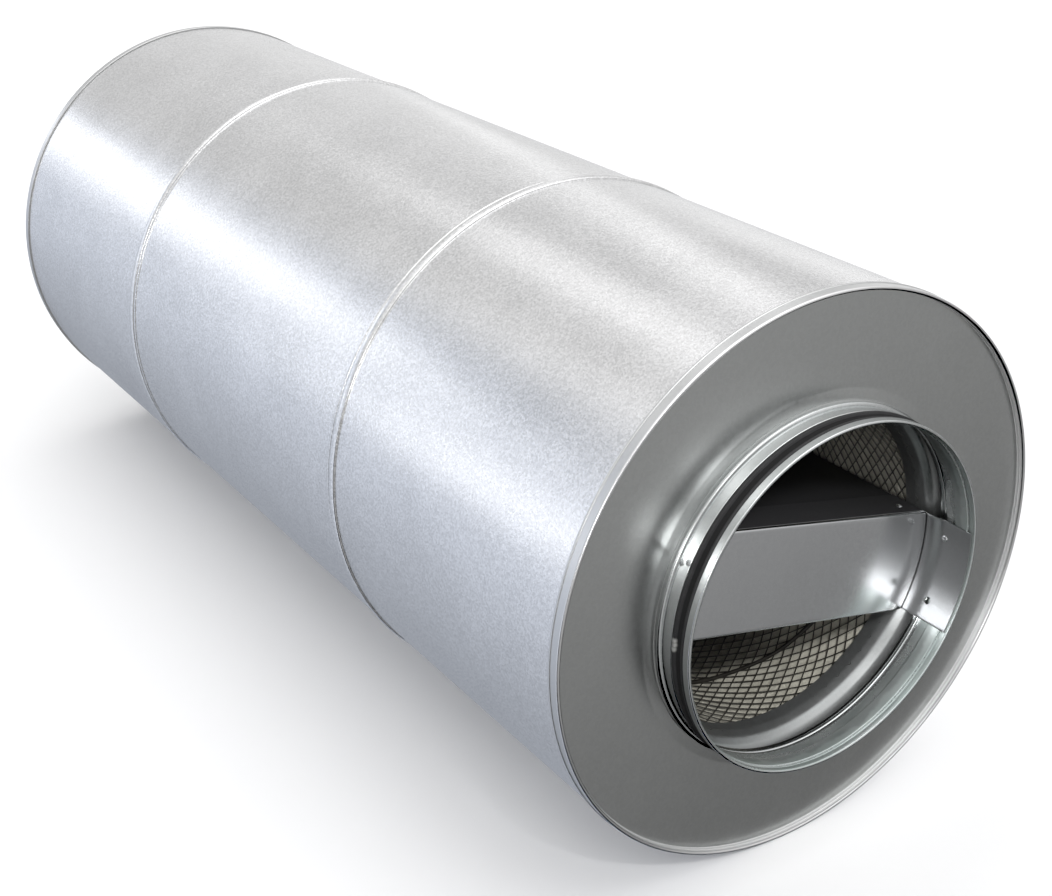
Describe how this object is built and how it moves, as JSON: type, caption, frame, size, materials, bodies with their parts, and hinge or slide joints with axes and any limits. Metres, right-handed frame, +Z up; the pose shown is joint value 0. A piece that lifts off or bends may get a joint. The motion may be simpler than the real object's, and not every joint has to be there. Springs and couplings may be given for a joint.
{
  "type": "round duct sound attenuator",
  "caption": "Round duct sound attenuator: a lined zinc-coated sheet casing with a sealed spigot at each end and a flat absorbing baffle across the air path.",
  "frame": {"origin": "middle of the duct axis, halfway between the two spigot lips", "axes": "+X along the duct axis and out of the front spigot, +Z up as the unit lies, so the floor would touch the casing at its lowest Z"},
  "size_m": [1.268, 0.5138, 0.5137],
  "materials": {
    "casing_sheet": "zinc-coated sheet with a fine dull grain",
    "cap_sheet": "zinc-coated sheet, flat and grey",
    "spigot_sheet": "zinc-coated sheet, smooth, slightly stained inside",
    "baffle_sheet": "zinc-coated sheet, smooth",
    "rivet_metal": "plain metal",
    "rubber": "matt black sealing rubber",
    "mineral_wool": "light beige-grey mineral wool",
    "wire_mesh": "thin dark wire mesh",
    "dark_facing": "matt black facing"
  },
  "bodies": {
    "root": {"casing_front": "casing_sheet", "casing_middle": "casing_sheet", "casing_rear": "casing_sheet", "end_cap_front": "cap_sheet", "end_cap_rear": "cap_sheet", "spigot_front": "spigot_sheet", "spigot_rear": "spigot_sheet", "gasket_front": "rubber", "gasket_rear": "rubber", "inner_ring_front": "spigot_sheet", "inner_ring_rear": "spigot_sheet", "wool_lining": "mineral_wool", "mesh_liner": "wire_mesh", "baffle_core": "mineral_wool", "baffle_facing_upper": "dark_facing", "baffle_facing_lower": "dark_facing", "baffle_rail_left": "baffle_sheet", "baffle_rail_right": "baffle_sheet", "baffle_nose_front": "baffle_sheet", "baffle_nose_rear": "baffle_sheet", "bracket_front_left": "baffle_sheet", "bracket_front_right": "baffle_sheet", "bracket_rear_left": "baffle_sheet", "bracket_rear_right": "baffle_sheet", "bracket_rivets": "rivet_metal", "nose_rivets": "rivet_metal"}
  },
  "joints": []
}
